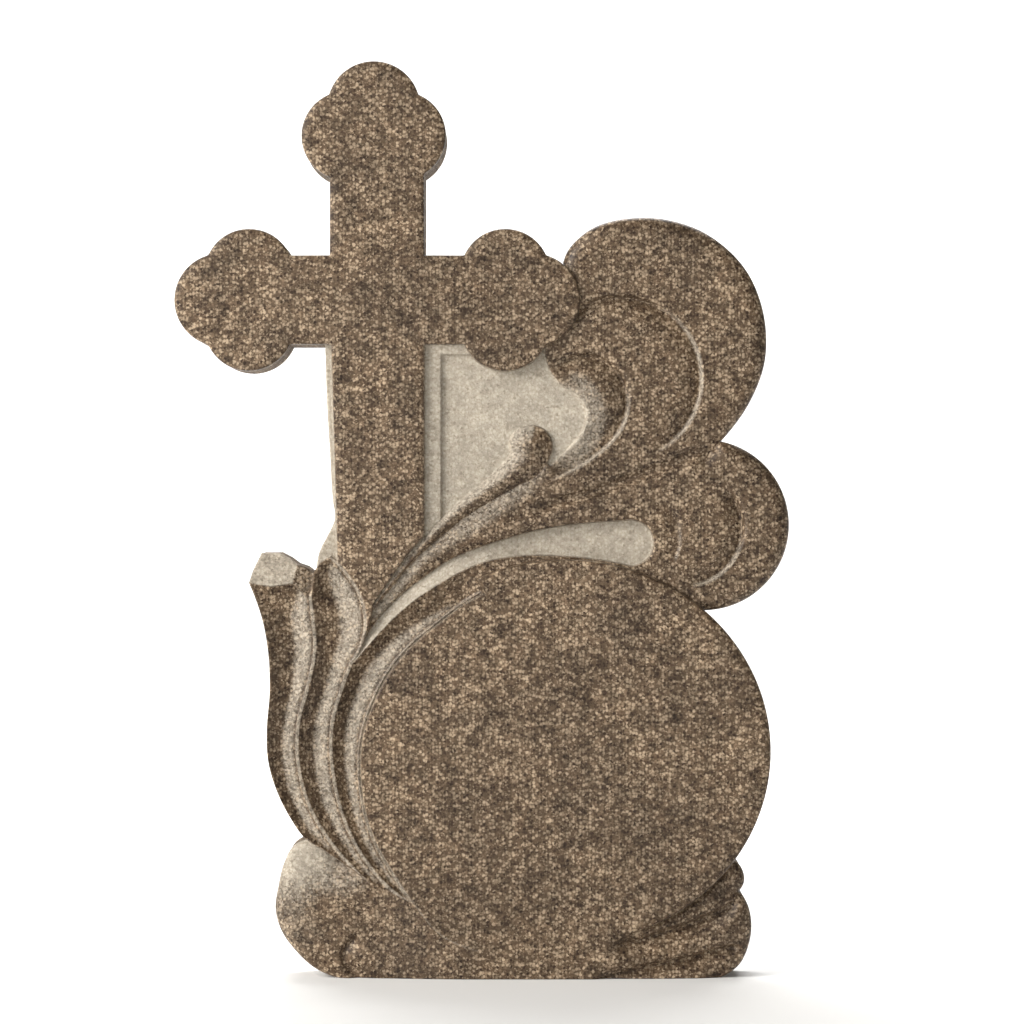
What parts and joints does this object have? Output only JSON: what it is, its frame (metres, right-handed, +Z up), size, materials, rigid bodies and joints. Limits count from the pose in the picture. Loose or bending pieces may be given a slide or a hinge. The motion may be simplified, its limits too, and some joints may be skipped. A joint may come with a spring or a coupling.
{
  "type": "granite headstone",
  "caption": "Upright granite slab carved in relief with a trefoil-ended cross, scrolls, fluted leaves and a blank round face, standing on its flat underside.",
  "frame": {"origin": "on the ground, under the middle of the stone's width and thickness", "axes": "+Z up, the carved face towards -Y, the cross on the -X side"},
  "size_m": [0.805, 0.12, 1.2],
  "materials": {
    "granite": "polished brown granite with paler, roughly dressed sunk surfaces"
  },
  "bodies": {
    "root": {"headstone": "granite"}
  },
  "joints": []
}
